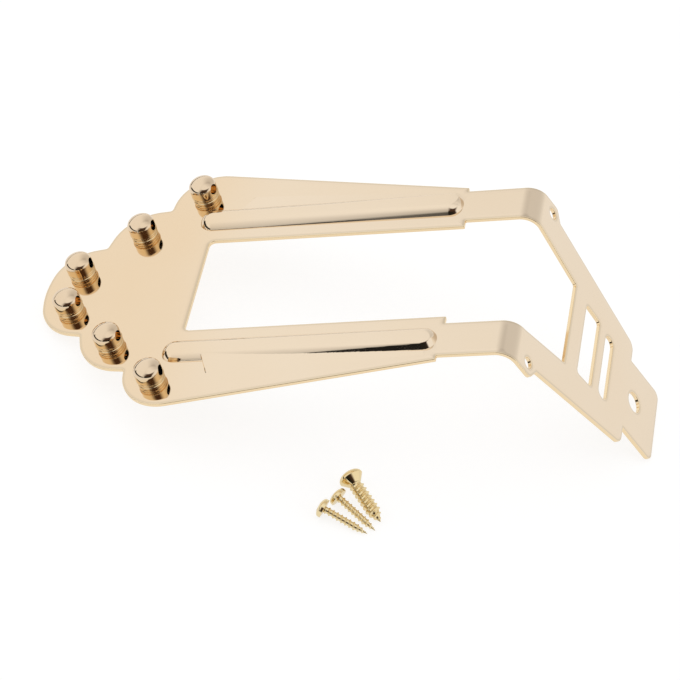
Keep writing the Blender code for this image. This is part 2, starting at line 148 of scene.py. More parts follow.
def hole(x, y, radius):
    """A round hole's path, (x + r cos t, y - r sin t), with the metal on its left."""
    turns = np.linspace(0.0, 2 * math.pi, HOLE_STEPS, endpoint=False)
    outward = np.stack([np.cos(turns), -np.sin(turns)], axis=1)
    return np.array((x, y)) + radius * outward, -outward


def with_stops(path, stops):
    """The path with a point added wherever its straight runs pass one of the stops in x."""
    places, normals = path
    after, normals_after = np.roll(places, -1, axis=0), np.roll(normals, -1, axis=0)
    run = after[:, :1] - places[:, :1]
    share = (np.array(stops) - places[:, :1]) / np.where(run == 0, 1.0, run)
    edge, stop = np.nonzero((share > 0.01) & (share < 0.99) & (run != 0))
    part = share[edge, stop][:, None]
    extra = places[edge] * (1 - part) + after[edge] * part
    extra_normals = normals[edge] * (1 - part) + normals_after[edge] * part
    order = np.argsort(np.concatenate([np.arange(len(places)), edge + part[:, 0]]))
    return np.concatenate([places, extra])[order], np.concatenate([normals, extra_normals])[order]


def post_places():
    """The posts' places on the plate, from the far outer one round to the near outer one."""
    far = [(x, STRING_PITCH * (row + 0.5)) for row, x in enumerate(POST_ROWS_X)]
    return far[::-1] + [(x, -y) for x, y in far]


def bracket_edge(down):
    """The bracket's half width this far down from the bend."""
    return BRACKET_HALF_WIDTH - BRACKET_TAPER * down


def on_bracket(*corners):
    """Corners whose first value is measured down the bracket from the bend."""
    return [(BRACKET_X + down, y, radius) for down, y, radius in corners]


def sheet_paths():
    """The outline, the window through the bend, the two slots and all round holes."""
    half = [FRONT]
    for row, (x, y) in enumerate(post_places()[2::-1]):
        half.append((x + LOBES[row][0], y + LOBES[row][1], LOBES[row][2]))
        half += NOTCHES[row:row + 1]
    half += [
        (ARM_END_X, ARM_END_HALF_WIDTH, STEP_FILLET),
        (ARM_END_X, STRAP_OUTER, STEP_FILLET),
        (BEND_X, STRAP_OUTER, 0),
    ]
    half += on_bracket(
        (0.0, EAR_HALF_WIDTH, 0),
        (EAR_LENGTH, EAR_HALF_WIDTH, EAR_FILLET),
        (EAR_END, bracket_edge(EAR_END), EAR_END_FILLET),
        (BRACKET_SHOULDER, bracket_edge(BRACKET_SHOULDER), BRACKET_SHOULDER_FILLET),
        (BRACKET_SHOULDER, TONGUE_HALF_WIDTH, STEP_FILLET),
        (TONGUE_END, TONGUE_HALF_WIDTH, TONGUE_FILLET),
    )
    window = [
        (OPENING_X, OPENING_HALF_WIDTH, OPENING_FILLET),
        (STRAP_START_X, OPENING_END_HALF_WIDTH, STEP_FILLET),
        (STRAP_START_X, STRAP_INNER, STEP_FILLET),
        (BEND_X, STRAP_INNER, 0),
    ]
    window_end = WINDOW_HALF_WIDTH - WINDOW_TAPER * WINDOW_LENGTH
    window += on_bracket((0.0, WINDOW_HALF_WIDTH, 0), (WINDOW_LENGTH, window_end, WINDOW_FILLET))
    stops = np.linspace(BEND_X, BRACKET_X, BEND_CUTS + 1)[1:-1]
    paths = [with_stops(rounded(mirrored(half)[::-1]), stops), with_stops(rounded(mirrored(window)), stops)]
    paths += [rounded(mirrored(on_bracket(*slot))) for slot in (WIDE_SLOT, NARROW_SLOT)]
    paths += [hole(x, y, SHANK_RADIUS) for x, y in post_places()]
    paths.append(hole(BRACKET_X + PIN_HOLE_DOWN, 0.0, PIN_HOLE_RADIUS))
    paths += [hole(BRACKET_X + EAR_HOLE_DOWN, side * EAR_HOLE_Y, EAR_HOLE_RADIUS) for side in (1, -1)]
    return paths


# Each arm is stiffened by a round-ended ridge with a flat top. Left of the step its walls are
# soft. Right of it the outer wall starts as a wide round shoulder that sharpens towards the bend,
# while the wedge beside it sinks from the ridge's crest to the flat of the arm.
RIDGE_START_X = 23.0
RIDGE_END_X = 79.2
RIDGE_Y = 18.55
RIDGE_FOOT = 2.78
RIDGE_HEIGHT = 1.5
RIDGE_CROWN = 0.05
WALL_SLOPE = math.radians(66.0)
ROUNDS_X = (30.0, 37.0, 50.0, 77.0)
OUTER_ROUNDS = (2.35, 2.3, 1.9, 0.15)
INNER_ROUNDS = (2.45, 2.4, 2.15, 1.6)
RIDGE_RINGS = 30
RIDGE_STEPS = 84
RIDGE_END_STEPS = 28
POCKET_INSET = 0.7

STEP_INNER = (32.0, 21.3)
STEP_OUTER = (33.6, 25.1)
STEP_LEAN = (STEP_OUTER[0] - STEP_INNER[0]) / (STEP_OUTER[1] - STEP_INNER[1])
STEP_RUN = 0.24
WEDGE_CREST_INSET = 0.5
WEDGE_X = (33.6, 77.0, 79.0)
WEDGE_EDGE = (25.1, 22.4, 21.3)
WEDGE_SLOPES = (0.237, 0.1, 0.0)
GRADIENT_STEP = 1e-5
CORNER_SHARE = 0.06


def ridge(x, y, inset=0.0):
    """The ridge's height, from its distance u to the middle of its crest.

    It is the lower of the flat top and a wall at the slope t, and an arc of radius r joins them:
    z = H - r + sqrt(r^2 - (u - u1)^2) from u1 = foot - H / tan t - r tan(t / 2) on, as far as the
    wall. The radius shrinks along the arm, most of all on the outer side.
    """
    foot = RIDGE_FOOT - inset
    across = np.abs(y) - RIDGE_Y
    beyond = np.maximum(RIDGE_START_X + RIDGE_FOOT - x, x - RIDGE_END_X + RIDGE_FOOT)
    reach = np.hypot(across, np.maximum(beyond, 0.0))
    share = 0.5 + 0.5 * np.clip(across / 0.8, -1.0, 1.0)
    inner = np.interp(x, ROUNDS_X, INNER_ROUNDS)
    radius = inner + (np.interp(x, ROUNDS_X, OUTER_ROUNDS) - inner) * share
    top_end = foot - RIDGE_HEIGHT / math.tan(WALL_SLOPE)
    first = top_end - radius * math.tan(WALL_SLOPE / 2)
    past = np.clip(reach - first, 0.0, radius * math.sin(WALL_SLOPE))
    arc = RIDGE_HEIGHT - radius + np.sqrt(radius**2 - past**2)
    wall = (foot - reach) * math.tan(WALL_SLOPE)
    crown = RIDGE_CROWN * np.clip(reach / foot, 0.0, 1.0) ** 2
    return np.minimum(arc, wall) - crown * np.clip(wall / RIDGE_HEIGHT, 0.0, 1.0)


def wedge(x, y, inset=0.0):
    """The wedge's height, slope(x) (edge(x) - |y|), which rises over a short run at the step."""
    outward = np.abs(y)
    step_x = STEP_INNER[0] + (outward - STEP_INNER[1]) * STEP_LEAN + inset
    rise = np.clip((x - step_x) / STEP_RUN, 0.0, 1.0)
    face = np.interp(x, WEDGE_X, WEDGE_SLOPES) * (np.interp(x, WEDGE_X, WEDGE_EDGE) - outward)
    return np.where(outward > RIDGE_Y + WEDGE_CREST_INSET, face * rise, 0.0)


def top_face(x, y):
    """The top face: the highest of the ridge, the wedge and the flat of the plate."""
    return np.maximum(np.maximum(ridge(x, y), wedge(x, y)), 0.0)


def under_face(x, y):
    """The underside, one sheet below, with the pockets that the punch leaves."""
    return np.maximum(np.maximum(ridge(x, y, POCKET_INSET), wedge(x, y, SHEET)), 0.0) - SHEET


def stadium(side, share, inset):
    """A ring round the ridge at this share of its foot: two straight runs and two half circles."""
    radius = (RIDGE_FOOT - inset) * share
    start, end = RIDGE_START_X + RIDGE_FOOT, RIDGE_END_X - RIDGE_FOOT
    run = np.linspace(start, end, RIDGE_STEPS + 1)
    turn = np.linspace(math.pi / 2, -math.pi / 2, RIDGE_END_STEPS + 1)[1:-1]
    x = np.concatenate([run, end + radius * np.cos(turn), run[::-1], start - radius * np.cos(turn)])
    level = np.full_like(run, radius)
    y = np.concatenate([level, radius * np.sin(turn), -level, -radius * np.sin(turn)])
    return np.stack([x, side * (RIDGE_Y + y)], axis=1)


def meeting(side, inset):
    """Where the wedge's face meets the ridge's outer wall, from their heights on a fine grid."""
    x = np.linspace(STEP_INNER[0] + 0.4 + inset, WEDGE_X[1], 90)
    u = np.linspace(WEDGE_CREST_INSET + 0.02, RIDGE_FOOT - inset, 900)
    grid_x, grid_y = np.meshgrid(x, RIDGE_Y + u, indexing="ij")
    over = ridge(grid_x, grid_y, inset) < wedge(grid_x, grid_y, inset)
    first = np.argmax(over, axis=1)
    found = over.any(axis=1) & (first > 0)
    return np.stack([x[found], side * (RIDGE_Y + u[first[found]])], axis=1)


def guides(side, inset):
    """The lines that the triangles follow on one arm, as (points, closed)."""
    turns = np.linspace(0.0, math.pi / 2, RIDGE_RINGS + 1)[1:]
    lines = [(stadium(side, share, inset), True) for share in np.sin(turns) ** 0.69]
    crest = np.linspace(RIDGE_START_X + RIDGE_FOOT, RIDGE_END_X - RIDGE_FOOT, RIDGE_STEPS + 1)
    lines.append((np.stack([crest, np.full_like(crest, side * RIDGE_Y)], axis=1), False))
    lines.append((meeting(side, inset), False))
    foot_x = np.concatenate([np.linspace(STEP_OUTER[0] + inset + STEP_RUN, WEDGE_X[1], 60), WEDGE_X[2:]])
    foot = np.stack([foot_x, side * np.interp(foot_x, WEDGE_X, WEDGE_EDGE)], axis=1)
    lines.append((foot, False))
    outward = np.linspace(RIDGE_Y + WEDGE_CREST_INSET + 0.1, STEP_OUTER[1], 40)
    for shift in (0.0, STEP_RUN):
        step_x = STEP_INNER[0] + (outward - STEP_INNER[1]) * STEP_LEAN + inset + shift
        lines.append((np.stack([step_x, side * outward], axis=1), False))
    return lines


def inside(spots, loop):
    """Which spots a closed loop holds: a line to the right crosses the loop an odd number of times."""
    x, y = spots[:, :1], spots[:, 1:]
    ahead = np.roll(loop, -1, axis=0)
    rise = ahead[:, 1] - loop[:, 1]
    cross_x = loop[:, 0] + (y - loop[:, 1]) * (ahead[:, 0] - loop[:, 0]) / np.where(rise == 0, 1.0, rise)
    crossed = ((loop[:, 1] > y) != (ahead[:, 1] > y)) & (cross_x > x)
    return crossed.sum(axis=1) % 2 == 1


def roll_inset(rolled):
    """How far the top face ends inside the outline: its edge round stops at the roll's slope."""
    return EDGE_ROUND * (1 - math.sin(math.atan(ROLL_SLOPE)) if rolled else 1)


def from_edges(spots, paths):
    """Each spot's distance from the nearest of the paths, and the unit vector away from it."""
    distance, away = np.zeros(len(spots)), np.zeros((len(spots), 2))
    starts = np.concatenate([places for places, _ in paths])
    ways = np.concatenate([np.roll(places, -1, axis=0) - places for places, _ in paths])
    lengths = np.maximum((ways**2).sum(axis=1), 1e-12)
    for part in np.array_split(np.arange(len(spots)), len(spots) // 2000 + 1):
        from_start = spots[part][:, None] - starts
        share = np.clip((from_start * ways).sum(axis=2) / lengths, 0.0, 1.0)
        apart = from_start - share[..., None] * ways
        reach = np.sqrt((apart**2).sum(axis=2))
        nearest = np.argmin(reach, axis=1)
        rows = np.arange(len(part))
        distance[part] = reach[rows, nearest]
        away[part] = apart[rows, nearest] / np.maximum(distance[part], 1e-6)[:, None]
    return distance, away


def rolled_down(spots, paths):
    """The die roll's drop at each spot, and its gradient: h (1 - d / run)^2 at d from an edge."""
    distance, away = from_edges(spots, paths)
    left = np.maximum(1 - distance / ROLL_RUN, 0.0)
    return ROLL_DEPTH * left**2, ROLL_SLOPE * left[:, None] * away


def face_of(paths, lines, loose, height, upward, rolled=()):
    """One face of a sheet as triangles: its loops and guide lines joined by a Delaunay mesh.

    Each point goes to its height z(x, y), with the normal (-dz/dx, -dz/dy, 1) just inside its
    triangle, so that a crease stays sharp. The result is corners and normals, (n, 3, 3) each.
    """
    rings = [(places - roll_inset(k in rolled) * normals, True) for k, (places, normals) in enumerate(paths)]
    lines = lines + [(paths[k][0] - inset * paths[k][1], True) for k in rolled for inset in ROLL_RINGS]
    points, edges, count = [], [], 0
    for line, closed in rings + lines:
        index = count + np.arange(len(line))
        edges.append(np.stack([index, np.roll(index, -1)], axis=1)[:len(line) - (not closed)])
        points.append(line)
        count += len(line)
    flat = np.concatenate(points + [loose]).astype(np.float32)
    made = delaunay_2d_cdt([Vector(spot) for spot in flat.tolist()], np.concatenate(edges).tolist(), [], 0, 1e-5)
    spots, triangles = np.array(made[0], dtype=float), np.array(made[2])
    corners = spots[triangles]
    middle = corners.mean(axis=1)
    kept = inside(middle, rings[0][0])
    for loop, _ in rings[1:len(paths)]:
        kept &= ~inside(middle, loop)
    corners, middle, triangles = corners[kept], middle[kept], triangles[kept]
    ways = corners[:, 1:] - corners[:, :1]
    turned_round = ways[:, 0, 0] * ways[:, 1, 1] < ways[:, 0, 1] * ways[:, 1, 0]
    flip = turned_round if upward else ~turned_round
    corners[flip] = corners[flip][:, ::-1]
    triangles[flip] = triangles[flip][:, ::-1]
    probe = corners + CORNER_SHARE * (middle[:, None] - corners)
    x, y = probe[..., 0], probe[..., 1]
    slope_x = (height(x + GRADIENT_STEP, y) - height(x - GRADIENT_STEP, y)) / (2 * GRADIENT_STEP)
    slope_y = (height(x, y + GRADIENT_STEP) - height(x, y - GRADIENT_STEP)) / (2 * GRADIENT_STEP)
    level = height(corners[..., 0], corners[..., 1])
    if rolled:
        drop, gradient = rolled_down(spots, [paths[k] for k in rolled])
        level -= drop[triangles]
        slope_x += gradient[triangles, 0]
        slope_y += gradient[triangles, 1]
    normals = np.stack([-slope_x, -slope_y, np.ones_like(x)], axis=-1) * (1 if upward else -1)
    normals /= np.linalg.norm(normals, axis=-1, keepdims=True)
    return np.concatenate([corners, level[..., None]], axis=-1), normals


def grid_of(places, normals):
    """A grid of (rows, columns, 3) whose columns close on themselves, as triangles.

    Rows go up and columns go along with the metal on the left, so that the faces point outwards.
    """
    corner_sets = []
    for values in (places, normals):
        here, beside = values[:-1], np.roll(values, -1, axis=1)[:-1]
        above, across = values[1:], np.roll(values, -1, axis=1)[1:]
        lower = np.stack([here, beside, across], axis=2)
        upper = np.stack([here, across, above], axis=2)
        corner_sets.append(np.concatenate([lower, upper]).reshape(-1, 3, 3))
    return corner_sets


def rim_of(path, rolled):
    """The sheet's edge along a path: a quarter round, a straight wall and a quarter round.

    Its section turns from straight down to straight up: inset r (1 - cos a) and height r sin a
    from each end of the wall, with a the lean of its normal. A rolled edge meets the die roll.
    """
    places, normals = path
    quarter = np.linspace(0.0, math.pi / 2, EDGE_STEPS)
    upper = quarter * (1 - math.atan(ROLL_SLOPE) / (math.pi / 2)) if rolled else quarter
    lean = np.concatenate([quarter - math.pi / 2, upper])[:, None]
    inset = EDGE_ROUND * (1 - np.cos(lean))
    sunk = ROLL_DEPTH * (1 - roll_inset(True) / ROLL_RUN) ** 2 if rolled else 0.0
    top = -sunk - EDGE_ROUND * math.sin(upper[-1])
    base = np.repeat([EDGE_ROUND - SHEET, top], EDGE_STEPS)[:, None]
    flat = places.astype(np.float64) - inset[..., None] * normals
    height = np.broadcast_to(base + EDGE_ROUND * np.sin(lean), flat.shape[:2])
    unit = normals / np.linalg.norm(normals, axis=1, keepdims=True)
    facing = np.cos(lean)[..., None] * unit
    up = np.broadcast_to(np.sin(lean), flat.shape[:2])
    return grid_of(np.dstack([flat, height]), np.dstack([facing, up]))


def bent(places, normals):
    """Points and normals of the flat blank after its straps are bent down round the bend.

    At the turn t the radius is R + z: x = (R + z) sin t + past cos t, and the height is
    (R + z) cos t - past sin t - R, with past the length beyond the bend.
    """
    x, y, z = np.moveaxis(places, -1, 0)
    turn = np.clip((x - BEND_X) / BEND_LENGTH, 0.0, 1.0) * BEND_ANGLE
    past = np.maximum(x - BRACKET_X, 0.0)
    radius = BEND_RADIUS + z
    along = np.minimum(x, BEND_X) + radius * np.sin(turn) + past * np.cos(turn)
    height = radius * np.cos(turn) - past * np.sin(turn) - BEND_RADIUS
    nx, ny, nz = np.moveaxis(normals, -1, 0)
    facing = (nx * np.cos(turn) + nz * np.sin(turn), ny, nz * np.cos(turn) - nx * np.sin(turn))
    return np.stack([along, y, height], axis=-1), np.stack(facing, axis=-1)


# The plate rests on its front edge and on the tongue's end, and the model's box says where.
plate_low, plate_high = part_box("plate")
TONGUE_DROP = (BEND_RADIUS - SHEET) * math.cos(BEND_ANGLE) - TONGUE_END * math.sin(BEND_ANGLE) - BEND_RADIUS
TONGUE_X = BEND_X + (BEND_RADIUS - SHEET) * math.sin(BEND_ANGLE) + TONGUE_END * math.cos(BEND_ANGLE)
REST_TILT = math.atan2(-SHEET - TONGUE_DROP, TONGUE_X - FRONT_X)
REST = Matrix.Rotation(-REST_TILT, 4, "Y")
FRONT_TOP = REST @ Vector((FRONT_X, 0.0, 0.0))
FRONT_UNDER = REST @ Vector((FRONT_X, 0.0, -SHEET))
MIDDLE_Y = (plate_low.y + plate_high.y) / 2
REST.translation = Vector((plate_low.x / MM - FRONT_TOP.x, MIDDLE_Y / MM, -FRONT_UNDER.z))


def placed(surfaces, matrix):
    """Surfaces as (corners, normals) moved by a matrix."""
    turn = np.array(matrix.to_3x3())
    shift = np.array(matrix.translation)
    return [(places @ turn.T + shift, normals @ turn.T) for places, normals in surfaces]


def piece_of(name, surfaces, look, edge=None):
    """One object from surfaces in millimetres: equal corners are welded and folded faces dropped.

    The corner normals are kept as custom normals, and edge gives each surface or each of its
    corners a value of the attribute of that name, which the material reads for its painted
    reflections and painted shade.
    """
    corners = np.concatenate([places for places, _ in surfaces])
    normals = np.concatenate([facing for _, facing in surfaces])
    edge = edge or [0.0] * len(surfaces)
    values = np.concatenate([np.broadcast_to(v, s[0].shape[:2]) for s, v in zip(surfaces, edge)])
    spots, index = np.unique(np.round(corners.reshape(-1, 3), 4), axis=0, return_inverse=True)
    triangles = index.reshape(-1, 3)
    kept = (triangles != np.roll(triangles, 1, axis=1)).all(axis=1)
    triangles, normals, values = triangles[kept], normals[kept], values[kept]
    mesh = bpy.data.meshes.new(name)
    mesh.from_pydata(spots * MM, [], triangles.tolist())
    mesh.attributes.new("edge", "FLOAT", "CORNER").data.foreach_set("value", values.ravel())
    mesh.shade_smooth()
    mesh.normals_split_custom_set(normals.reshape(-1, 3).tolist())
    mesh.materials.append(look)
    piece = bpy.data.objects.new(name, mesh)
    bpy.context.scene.collection.objects.link(piece)
    return piece


def linear(code):
    """A hex sRGB colour as linear red, green, blue and alpha."""
    parts = [int(code[k:k + 2], 16) / 255 for k in (0, 2, 4)]
    return [c / 12.92 if c <= 0.04045 else ((c + 0.055) / 1.055) ** 2.4 for c in parts] + [1.0]


def node(tree, kind, inputs=None, **settings):
    """A node of this kind with its settings made and its inputs set or linked."""
    made = tree.nodes.new(kind)
    for name, value in settings.items():
        setattr(made, name, value)
    for name, value in (inputs or {}).items():
        if isinstance(value, bpy.types.NodeSocket):
            tree.links.new(value, made.inputs[name])
        else:
            made.inputs[name].default_value = value
    return made


# The greyish tint of the painted shade that lies along the die roll of the plate's blanked edges.
PAINTED_ROLL_SHADE = "CDBDA2"


def plating(name, pale, warm, painted_reflection_tint, grain_mm, rough_low, rough_high, grain_depth_mm, fade_x=None):
    """Gold plating over polished metal.

    The tint drifts over centimetres, clouds over a millimetre and may fade along x, the polishing
    grain runs along x and a few hairlines cross it. The edge attribute brings its own tint where
    it is above nothing, a painted reflection of gold in gold, and a duller one where it is below,
    a painted shade along the die roll of a blanked edge.
    """
    made = bpy.data.materials.new(name)
    made.use_nodes = True
    tree = made.node_tree
    shader = tree.nodes["Principled BSDF"]
    shader.inputs["Metallic"].default_value = 1.0
    place = node(tree, "ShaderNodeTexCoord").outputs["Object"]
    drift = node(tree, "ShaderNodeTexNoise", {"Vector": place, "Scale": 40.0, "Detail": 2.0})
    cloud = node(tree, "ShaderNodeTexNoise", {"Vector": place, "Scale": 700.0, "Detail": 3.0})
    both = node(tree, "ShaderNodeMath",
                {0: cloud.outputs["Fac"], 1: 0.1, 2: drift.outputs["Fac"]}, operation="MULTIPLY_ADD")
    spread = node(tree, "ShaderNodeMapRange",
                  {"Value": both.outputs[0], "From Min": 0.35, "From Max": 0.75})
    share = spread.outputs[0]
    if fade_x:
        across = node(tree, "ShaderNodeSeparateXYZ", {0: place})
        fade = node(tree, "ShaderNodeMapRange",
                    {"Value": across.outputs["X"], "From Min": fade_x[0], "From Max": fade_x[1],
                     "To Min": 0.75, "To Max": 0.0}, interpolation_type="SMOOTHSTEP")
        share = node(tree, "ShaderNodeMath",
                     {0: share, 1: 0.25, 2: fade.outputs[0]}, operation="MULTIPLY_ADD").outputs[0]
    tint = node(tree, "ShaderNodeMix", {0: share, 6: linear(pale), 7: linear(warm)}, data_type="RGBA")
    at_edge = node(tree, "ShaderNodeAttribute", attribute_name="edge")
    painted_shade = node(tree, "ShaderNodeMath", {0: at_edge.outputs["Fac"], 1: -1.0}, operation="MULTIPLY")
    shaded_tint = node(tree, "ShaderNodeMix",
                  {0: painted_shade.outputs[0], 6: tint.outputs[2], 7: linear(PAINTED_ROLL_SHADE)}, data_type="RGBA")
    coloured = node(tree, "ShaderNodeMix",
                    {0: at_edge.outputs["Fac"], 6: shaded_tint.outputs[2], 7: linear(painted_reflection_tint)}, data_type="RGBA")
    tree.links.new(coloured.outputs[2], shader.inputs["Base Color"])
    stretched = node(tree, "ShaderNodeMapping", {"Vector": place, "Scale": (0.04, 1.0, 1.0)})
    grain = node(tree, "ShaderNodeTexNoise",
                 {"Vector": stretched.outputs[0], "Scale": 1000 / grain_mm, "Detail": 3.0})
    crossed = node(tree, "ShaderNodeMapping",
                   {"Vector": place, "Rotation": (0.0, 0.0, 0.9), "Scale": (0.03, 1.0, 1.0)})
    hair = node(tree, "ShaderNodeTexNoise",
                {"Vector": crossed.outputs[0], "Scale": 1000 / (2 * grain_mm), "Detail": 1.0})
    hairline = node(tree, "ShaderNodeMapRange",
                    {"Value": hair.outputs["Fac"], "From Min": 0.68, "From Max": 0.76})
    handled = node(tree, "ShaderNodeTexNoise", {"Vector": place, "Scale": 160.0, "Detail": 4.0})
    rough = node(tree, "ShaderNodeMapRange",
                 {"Value": handled.outputs["Fac"], "From Min": 0.3, "From Max": 0.7,
                  "To Min": rough_low, "To Max": rough_high})
    tree.links.new(rough.outputs[0], shader.inputs["Roughness"])
    height = node(tree, "ShaderNodeMath",
                  {0: hairline.outputs[0], 1: -0.6, 2: grain.outputs["Fac"]}, operation="MULTIPLY_ADD")
    raised = node(tree, "ShaderNodeBump",
                  {"Height": height.outputs[0], "Strength": 1.0, "Distance": grain_depth_mm * MM})
    tree.links.new(raised.outputs[0], shader.inputs["Normal"])
    return made


# The real finish is a thin bright gold flash over buffed steel: it mirrors the posts and looks cream
# where it reflects the white tent. The peach of the blanked edges, where gold reflects in gold, is a
# painted reflection in their colour, and a greyish painted shade lies along their die roll.
HEAD_END, ARMS_START = plate_low.x + 24 * MM, plate_low.x + 42 * MM
plate_gold = plating("gold_flash_on_buffed_steel", "EEDCC3", "ECD4B3", "F4DCB4", 0.25, 0.04, 0.08, 0.00003,
                     (HEAD_END, ARMS_START))


POST_HOLES = range(4, 10)
# How far inside a rolled edge the painted shade of the die roll lies, in mm, and how much of its tint it takes there.
PAINTED_SHADE_INSETS = (0.1, 0.3, 0.5, 0.7)
PAINTED_SHADE_SHARES = (-0.15, -0.6, -0.2, 0.0)


def make_plate():
    """The top face, the underside and every edge, bent and laid to rest as one closed piece."""
    paths = sheet_paths()
    cuts = np.linspace(BEND_X, BRACKET_X, BEND_CUTS + 1)
    across = np.linspace(STRAP_INNER + 0.5, STRAP_OUTER - 0.4, 9)
    strap = np.array([(x, side * y) for x in cuts for y in across for side in (1, -1)])
    rolled = [k for k in range(len(paths)) if k not in POST_HOLES]
    top = face_of(paths, guides(1, 0.0) + guides(-1, 0.0), strap, top_face, True, rolled)
    under_lines = guides(1, POCKET_INSET) + guides(-1, POCKET_INSET)
    under = face_of(paths, under_lines, strap, under_face, False)
    rims = [rim_of(path, k in rolled) for k, path in enumerate(paths)]
    # The top face takes the painted shade of the die roll in a band 0.1 to 0.7 mm inside each rolled edge.
    spots, index = np.unique(np.round(top[0][..., :2].reshape(-1, 2), 4), axis=0, return_inverse=True)
    reach = from_edges(spots, [paths[k] for k in rolled])[0]
    painted_shade = np.interp(reach, PAINTED_SHADE_INSETS, PAINTED_SHADE_SHARES)[index].reshape(-1, 3)
    surfaces = [bent(*surface) for surface in [top, under] + rims]
    # The rims take the full edge tint, the painted peach reflection of gold in gold.
    return piece_of("pressed_plate", placed(surfaces, REST), plate_gold, [painted_shade, 0.0] + [1.0] * len(paths))


plate = make_plate()
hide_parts("plate")
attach(plate, "tailpiece")

# The six string posts are turned from brass bar, drilled for the strings, gold plated, and riveted
# through the plate. Each has a low dome, a fine lip, tool rings on its neck and a peened tail.
POST_RADIUS = 2.85
POST_TOP = 4.7
POST_PROFILE = (
    (0.0, -1.5, 0),
    (1.9, -1.5, 0.12),
    (2.2, -1.25, 0.15),
    (2.2, -0.9, 0.03),
    (SHANK_RADIUS - 0.02, -0.9, 0.03),
    (SHANK_RADIUS - 0.02, 0.0, 0.03),
    (2.72, 0.0, 0.03),
    (2.8, 0.1, 0.06),
    (2.8, 0.44, 0.12),
    (2.66, 0.56, 0.05),
    (2.66, 0.6, 0.05),
    (2.8, 0.72, 0.12),
    (2.8, 1.0, 0.12),
    (2.66, 1.12, 0.05),
    (2.66, 1.16, 0.05),
    (2.91, 1.26, 0.05),
    (2.91, 1.44, 0.08),
    (POST_RADIUS, 1.51, 0.04),
    (POST_RADIUS, 1.58, 0),
    (POST_RADIUS, 1.9, 0),
    (POST_RADIUS, 2.25, 0),
    (POST_RADIUS, 2.6, 0),
    (POST_RADIUS, 2.95, 0),
    (POST_RADIUS, 3.9, 1.25),
    (1.2, POST_TOP, 4.2),
    (0.0, POST_TOP, 0),
)
POST_STEPS = 96
STRING_HOLE_RADIUS = 1.07
STRING_HOLE_HEIGHT = 2.82
STRING_HOLE_TURNS = (-17.0, -3.0, 3.0, -9.0, -9.0, 0.0)
MOUTH_ROUND = 0.05
MOUTH_STEPS = 5
MOUTH_COLUMNS = 8
MOUTH_RINGS = 7
MOUTH_FOOT = 1.58


def spun(turn, values):
    """Points or normals (r, z) turned about z by the angles: (r cos t, r sin t, z)."""
    return np.stack([values[..., 0] * np.cos(turn), values[..., 0] * np.sin(turn),
                     np.broadcast_to(values[..., 1], np.broadcast(turn, values[..., 1]).shape)], axis=-1)


def turned(profile, steps):
    """A body turned about z: (r cos t, r sin t, z) for each point (r, z) of a rounded profile."""
    turn = np.linspace(0.0, 2 * math.pi, steps, endpoint=False)
    return grid_of(*[spun(turn, values[:, None]) for values in rounded(profile, closed=False)])


def collar(part, lean, border):
    """The surface from a border on a turned body, in over the mouth of its hole, and half through.

    The rings go straight from the border (t, s) to the mouth, where y = q sin u and z = h + q cos u,
    then turn e (1 - sin a) and e (1 - cos a) into the bore.
    """
    length = np.concatenate([[0.0], np.cumsum(np.hypot(*np.diff(part, axis=0).T))])
    middle = np.interp(STRING_HOLE_HEIGHT, part[:, 1], length)
    around = np.arctan2(POST_RADIUS * border[:, 0], border[:, 1] - middle)
    radial = np.stack([np.zeros_like(around), np.sin(around), np.cos(around)], axis=1)
    reach = STRING_HOLE_RADIUS + MOUTH_ROUND
    height = STRING_HOLE_HEIGHT + reach * radial[:, 2]
    wide = np.interp(height, part[:, 1], part[:, 0])
    mouth = np.stack([np.arcsin(reach * radial[:, 1] / wide), np.interp(height, part[:, 1], length)], axis=1)
    share = np.linspace(0.0, 1.0, MOUTH_RINGS + 1)[:, None, None]
    spots = border + share * (mouth - border)
    rows = [spun(spots[..., 0], np.stack([np.interp(spots[..., 1], length, values[:, k]) for k in (0, 1)], axis=-1))
            for values in (part, lean)]
    bend = np.linspace(0.0, math.pi / 2, MOUTH_STEPS)[1:, None, None]
    inward = np.array((-1.0, 0.0, 0.0))
    places = rows[0][-1] - MOUTH_ROUND * (np.sin(bend) * radial - (1 - np.cos(bend)) * inward)
    normals = np.cos(bend) * rows[1][-1] - np.sin(bend) * radial
    return np.concatenate([rows[0], places]), np.concatenate([rows[1], normals])


def drilled(profile, steps):
    """A turned body with a round hole through it along x, as the grid and the two collars' grid.

    The grid's cells round each mouth are left out, and the collar in front goes through the bore
    to its own mirror image behind.
    """
    outline, facing = rounded(profile, closed=False)
    first = np.flatnonzero(outline[:, 1] <= MOUTH_FOOT + 1e-6)[-1]
    top = STRING_HOLE_HEIGHT + STRING_HOLE_RADIUS + 2 * MOUTH_ROUND
    last = np.flatnonzero(outline[:, 1] > top)[0]
    part = outline[first:last + 1]
    length = np.concatenate([[0.0], np.cumsum(np.hypot(*np.diff(part, axis=0).T))])
    across = np.arange(-MOUTH_COLUMNS, MOUTH_COLUMNS + 1) * 2 * math.pi / steps
    border = [(t, 0.0) for t in across[:-1]] + [(across[-1], s) for s in length[:-1]]
    border += [(t, length[-1]) for t in across[:0:-1]] + [(across[0], s) for s in length[:0:-1]]
    front = collar(part, facing[first:last + 1], np.array(border))
    behind = [values[::-1] * (-1.0, 1.0, 1.0) for values in front]
    turn = np.linspace(0.0, 2 * math.pi, steps, endpoint=False)
    grid = grid_of(*[spun(turn, values[:, None]) for values in (outline, facing)])
    row, column = np.mgrid[:len(outline) - 1, :steps]
    half = steps // 2
    near_mouth = (column + MOUTH_COLUMNS) % half < 2 * MOUTH_COLUMNS
    open_cells = (near_mouth & (row >= first) & (row < last)).ravel()
    kept = ~np.concatenate([open_cells, open_cells])
    body = [values[kept] for values in grid]
    return body, grid_of(*[np.concatenate(pair) for pair in zip(front, behind)])


# The posts' domes stay pale above this height as a painted highlight, and over the run below it their turned sides go
# to the deeper edge tint, a painted reflection of the gold plate.
DOME_HIGHLIGHT_FROM = 3.6
DOME_HIGHLIGHT_RUN = 0.9

